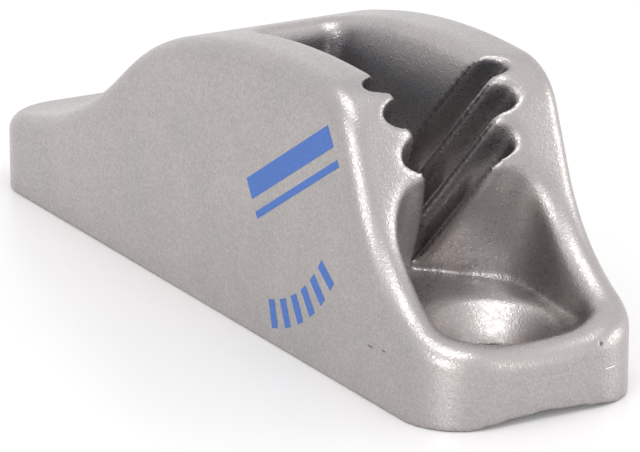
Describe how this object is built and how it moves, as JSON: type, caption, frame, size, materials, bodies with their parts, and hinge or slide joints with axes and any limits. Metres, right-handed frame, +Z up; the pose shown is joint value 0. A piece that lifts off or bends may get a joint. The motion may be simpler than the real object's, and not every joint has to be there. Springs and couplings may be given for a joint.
{
  "type": "jam cleat",
  "caption": "Cast aluminium jam cleat with a toothed V groove, a front pocket, a closed rear guide and two countersunk screw holes.",
  "frame": {"origin": "centre of the underside, on the surface that the cleat is screwed to", "axes": "+X along the cleat towards the open jaw and the front pocket, +Y to the left of that, +Z up out of the deck"},
  "size_m": [0.066, 0.0168, 0.0203],
  "materials": {
    "cast_aluminium": "satin, blasted and hard anodised"
  },
  "bodies": {
    "root": {"cleat_body": "cast_aluminium"}
  },
  "joints": []
}
